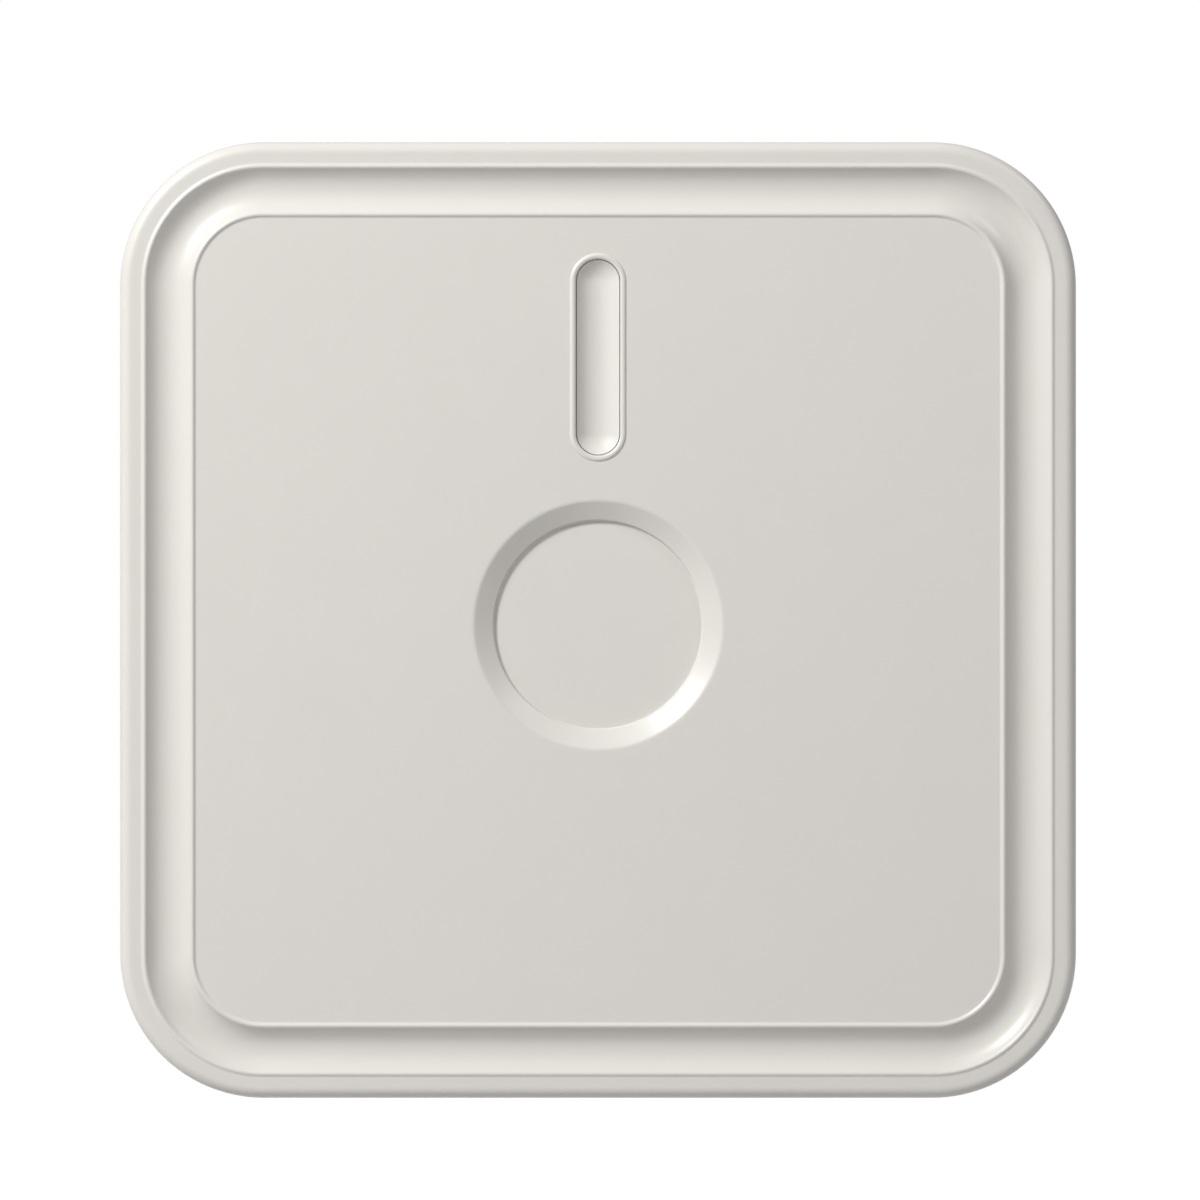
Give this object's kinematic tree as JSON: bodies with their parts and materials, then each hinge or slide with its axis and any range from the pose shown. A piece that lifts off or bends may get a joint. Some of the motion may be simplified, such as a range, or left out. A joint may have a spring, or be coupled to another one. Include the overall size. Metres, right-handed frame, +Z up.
{
  "type": "alarm control panel",
  "caption": "Square wall-mounted alarm hub with a coved rim, a light slot and a round recess; its cover swings up from a wired housing with board, battery and mains supply.",
  "frame": {"origin": "middle of the housing's back face, on the wall plane", "axes": "+Y points into the wall and the front faces -Y, +Z is up, +X is to the right seen from the front"},
  "size_m": [0.2, 0.042, 0.2],
  "materials": {
    "cover_plastic": "satin, very fine grain",
    "lens_plastic": "milky, satin",
    "housing_plastic": "matte",
    "steel": "drawn",
    "brass": "turned",
    "rubber": "matte",
    "board_green": "solder resist",
    "terminal_green": "moulded",
    "tin_plate": "tinned",
    "module_blue": "solder resist",
    "black_plastic": "moulded",
    "card_plastic": "smooth",
    "black_epoxy": "matte",
    "can_aluminium": "bright",
    "led_plastic": "clear epoxy",
    "shroud_plastic": "matte",
    "spring_steel": "stamped",
    "button_red": "moulded",
    "button_white": "moulded",
    "switch_red": "moulded",
    "cell_steel": "nickel plated",
    "cap_board": "fibre board",
    "wrap_film": "shrink film",
    "plug_white": "moulded",
    "lead_black": "smooth",
    "ferrite": "sintered",
    "bobbin_tape": "taped",
    "fuse_metal": "plated",
    "shade_plastic": "matte"
  },
  "bodies": {
    "panel": {"rear_housing": "housing_plastic", "hinge_pins": "steel", "lock_insert": "brass", "cable_grommet": "rubber", "main_board": "board_green", "board_screws": "steel", "zone_terminals": "terminal_green", "output_terminals": "terminal_green", "terminal_screws": "steel", "ethernet_jack": "tin_plate", "radio_board": "module_blue", "radio_header": "black_plastic", "radio_shield": "tin_plate", "radio_antenna": "tin_plate", "cellular_board": "module_blue", "cellular_header": "black_plastic", "cellular_shield": "tin_plate", "cellular_antenna": "tin_plate", "sim_holder": "tin_plate", "processor": "black_epoxy", "memory_chips": "black_epoxy", "board_capacitors": "can_aluminium", "status_leds": "led_plastic", "light_shroud": "shroud_plastic", "sounder": "black_plastic", "tamper_switch": "black_plastic", "button_bodies": "tin_plate", "dip_switch_body": "switch_red", "battery_cells": "cell_steel", "battery_end_caps": "cap_board", "battery_wrap": "wrap_film", "battery_strap": "housing_plastic", "battery_connector": "plug_white", "battery_lead": "lead_black", "power_board": "board_green", "transformer_core": "ferrite", "transformer_bobbin": "bobbin_tape", "power_capacitors": "can_aluminium", "fuse": "fuse_metal", "mains_terminal": "terminal_green", "power_cover": "shade_plastic", "power_screws": "steel", "power_connector": "plug_white", "power_lead": "lead_black", "cable_clamp": "black_plastic", "cable_clamp_screws": "steel"},
    "cover": {"front_cover": "cover_plastic", "light_lens": "lens_plastic"},
    "lock_washer": {"lock_washer": "steel"},
    "lock_screw": {"lock_screw": "steel"},
    "tamper_lever": {"tamper_lever": "spring_steel"},
    "reset_button": {"reset_button": "button_red"},
    "enrol_button": {"enrol_button": "button_white"},
    "dip_slider_1": {"dip_slider_1": "button_white"},
    "dip_slider_2": {"dip_slider_2": "button_white"},
    "dip_slider_3": {"dip_slider_3": "button_white"},
    "dip_slider_4": {"dip_slider_4": "button_white"},
    "sim_tray": {"sim_tray": "black_plastic", "sim_card": "card_plastic"}
  },
  "joints": [
    {"name": "cover_swing", "type": "hinge", "parent": "panel", "child": "cover", "pos_m": [0, -0.00649, 0.0947], "axis": [-1, 0, 0], "range_deg": [0, 85]},
    {"name": "lock_travel", "type": "slide", "parent": "panel", "child": "lock_washer", "axis": [0, 0, -1], "range_m": [0, 0.001]},
    {"name": "lock_turn", "type": "hinge", "parent": "lock_washer", "child": "lock_screw", "pos_m": [0, -0.011, -0.0985], "axis": [0, 0, -1], "range_deg": [0, 720]},
    {"name": "tamper_lift", "type": "hinge", "parent": "panel", "child": "tamper_lever", "pos_m": [0.061, -0.0174, 0.0144], "axis": [1, 0, 0], "range_deg": [0, 12]},
    {"name": "reset_press", "type": "slide", "parent": "panel", "child": "reset_button", "axis": [0, 1, 0], "range_m": [0, 0.0003], "stiffness_N_per_m": 400, "springref_m": -0.001},
    {"name": "enrol_press", "type": "slide", "parent": "panel", "child": "enrol_button", "axis": [0, 1, 0], "range_m": [0, 0.0003], "stiffness_N_per_m": 400, "springref_m": -0.001},
    {"name": "dip_slide_1", "type": "slide", "parent": "panel", "child": "dip_slider_1", "axis": [0, 0, 1], "range_m": [0, 0.0018]},
    {"name": "dip_slide_2", "type": "slide", "parent": "panel", "child": "dip_slider_2", "axis": [0, 0, 1], "range_m": [0, 0.0018]},
    {"name": "dip_slide_3", "type": "slide", "parent": "panel", "child": "dip_slider_3", "axis": [0, 0, 1], "range_m": [0, 0.0018]},
    {"name": "dip_slide_4", "type": "slide", "parent": "panel", "child": "dip_slider_4", "axis": [0, 0, 1], "range_m": [0, 0.0018]},
    {"name": "sim_slide", "type": "slide", "parent": "panel", "child": "sim_tray", "axis": [-1, 0, 0], "range_m": [0, 0.012]}
  ],
  "couplings": [
    {"joint": "lock_turn", "follows": "lock_travel", "rad_per_m": 12566},
    {"joint": "tamper_lift", "follows": "cover_swing", "ratio": 0.14}
  ]
}
